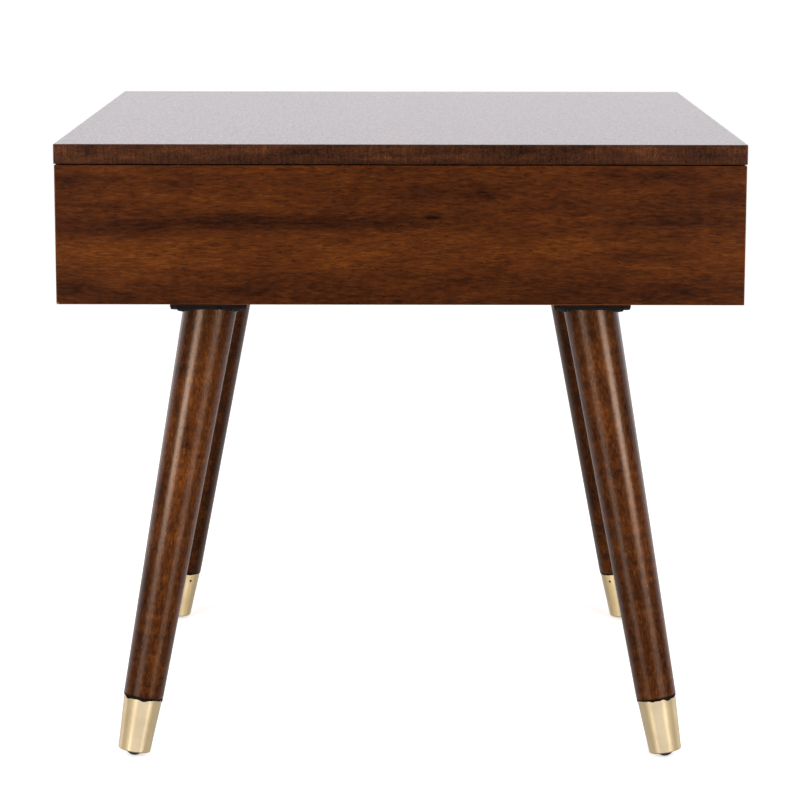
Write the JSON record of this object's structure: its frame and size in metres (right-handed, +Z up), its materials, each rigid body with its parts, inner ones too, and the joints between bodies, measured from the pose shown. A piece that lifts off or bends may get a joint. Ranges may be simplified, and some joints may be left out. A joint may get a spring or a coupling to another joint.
{
  "type": "side table with drawer",
  "caption": "Rectangular side table with a full-width pull-out drawer under a thick top, on splayed tapered wooden legs with brass end caps.",
  "frame": {"origin": "on the floor, under the middle of the table", "axes": "+Z up; -Y out of the drawer front, the way the drawer opens; +X to the right of someone facing the drawer"},
  "size_m": [0.61, 0.686, 0.577],
  "materials": {
    "walnut_top": "walnut-stained wood under a glossy clear lacquer",
    "walnut_case": "walnut-stained, fine-pored wood under a satin lacquer",
    "walnut_leg": "turned, walnut-stained wood under a satin lacquer",
    "stained_block": "dark-stained wood",
    "light_wood": "clear-lacquered light hardwood",
    "plywood": "sanded plywood",
    "brass": "satin champagne brass",
    "black_steel": "semi-gloss black coating on steel",
    "zinc_steel": "bright zinc plating",
    "cage_steel": "plain steel strip",
    "ball_steel": "polished steel",
    "black_nylon": "moulded black nylon",
    "soft_dot": "soft translucent dot"
  },
  "bodies": {
    "table_frame": {"top_panel": "walnut_top", "side_panel_left": "walnut_case", "side_panel_right": "walnut_case", "back_panel": "walnut_case", "bottom_panel": "plywood", "top_rail_front": "light_wood", "top_rail_rear": "light_wood", "top_screws": "zinc_steel", "case_dowels": "light_wood", "front_bumpers": "soft_dot", "leg_block_front_left": "stained_block", "leg_block_front_right": "stained_block", "leg_block_rear_left": "stained_block", "leg_block_rear_right": "stained_block", "leg_plate_front_left": "black_steel", "leg_plate_front_right": "black_steel", "leg_plate_rear_left": "black_steel", "leg_plate_rear_right": "black_steel", "leg_front_left": "walnut_leg", "leg_front_right": "walnut_leg", "leg_rear_left": "walnut_leg", "leg_rear_right": "walnut_leg", "cap_front_left": "brass", "cap_front_right": "brass", "cap_rear_left": "brass", "cap_rear_right": "brass", "block_screws": "zinc_steel", "leg_plate_screws": "black_steel", "hanger_bolts": "zinc_steel", "cap_pins": "zinc_steel", "glide_inserts": "brass", "slide_outer_left": "zinc_steel", "slide_outer_right": "zinc_steel", "case_slide_screws": "zinc_steel"},
    "drawer": {"drawer_front": "walnut_case", "drawer_box_front": "light_wood", "drawer_side_left": "light_wood", "drawer_side_right": "light_wood", "drawer_box_back": "light_wood", "drawer_bottom": "plywood", "drawer_dowels": "light_wood", "drawer_front_screws": "zinc_steel", "slide_inner_left": "zinc_steel", "slide_inner_right": "zinc_steel", "drawer_slide_screws": "zinc_steel"},
    "middle_member_left": {"slide_middle_left": "zinc_steel"},
    "outer_cage_left": {"cage_outer_left": "cage_steel", "balls_outer_left": "ball_steel"},
    "inner_cage_left": {"cage_inner_left": "cage_steel", "balls_inner_left": "ball_steel"},
    "middle_member_right": {"slide_middle_right": "zinc_steel"},
    "outer_cage_right": {"cage_outer_right": "cage_steel", "balls_outer_right": "ball_steel"},
    "inner_cage_right": {"cage_inner_right": "cage_steel", "balls_inner_right": "ball_steel"},
    "foot_front_left": {"glide_front_left": "black_nylon"},
    "foot_front_right": {"glide_front_right": "black_nylon"},
    "foot_rear_left": {"glide_rear_left": "black_nylon"},
    "foot_rear_right": {"glide_rear_right": "black_nylon"}
  },
  "joints": [
    {"name": "drawer_slide", "type": "slide", "parent": "table_frame", "child": "drawer", "axis": [0, -1, 0], "range_m": [0, 0.5]},
    {"name": "middle_slide_left", "type": "slide", "parent": "table_frame", "child": "middle_member_left", "axis": [0, -1, 0], "range_m": [0, 0.25]},
    {"name": "outer_cage_slide_left", "type": "slide", "parent": "table_frame", "child": "outer_cage_left", "axis": [0, -1, 0], "range_m": [0, 0.125]},
    {"name": "inner_cage_slide_left", "type": "slide", "parent": "table_frame", "child": "inner_cage_left", "axis": [0, -1, 0], "range_m": [0, 0.375]},
    {"name": "middle_slide_right", "type": "slide", "parent": "table_frame", "child": "middle_member_right", "axis": [0, -1, 0], "range_m": [0, 0.25]},
    {"name": "outer_cage_slide_right", "type": "slide", "parent": "table_frame", "child": "outer_cage_right", "axis": [0, -1, 0], "range_m": [0, 0.125]},
    {"name": "inner_cage_slide_right", "type": "slide", "parent": "table_frame", "child": "inner_cage_right", "axis": [0, -1, 0], "range_m": [0, 0.375]},
    {"name": "glide_screw_front_left", "type": "slide", "parent": "table_frame", "child": "foot_front_left", "axis": [-0.173, -0.0858, -0.9812], "range_m": [0, 0.008]},
    {"name": "glide_screw_front_right", "type": "slide", "parent": "table_frame", "child": "foot_front_right", "axis": [0.173, -0.0858, -0.9812], "range_m": [0, 0.008]},
    {"name": "glide_screw_rear_left", "type": "slide", "parent": "table_frame", "child": "foot_rear_left", "axis": [-0.173, 0.0858, -0.9812], "range_m": [0, 0.008]},
    {"name": "glide_screw_rear_right", "type": "slide", "parent": "table_frame", "child": "foot_rear_right", "axis": [0.173, 0.0858, -0.9812], "range_m": [0, 0.008]}
  ],
  "couplings": [
    {"joint": "middle_slide_left", "follows": "drawer_slide", "ratio": 0.5},
    {"joint": "outer_cage_slide_left", "follows": "drawer_slide", "ratio": 0.25},
    {"joint": "inner_cage_slide_left", "follows": "drawer_slide", "ratio": 0.75},
    {"joint": "middle_slide_right", "follows": "drawer_slide", "ratio": 0.5},
    {"joint": "outer_cage_slide_right", "follows": "drawer_slide", "ratio": 0.25},
    {"joint": "inner_cage_slide_right", "follows": "drawer_slide", "ratio": 0.75}
  ]
}
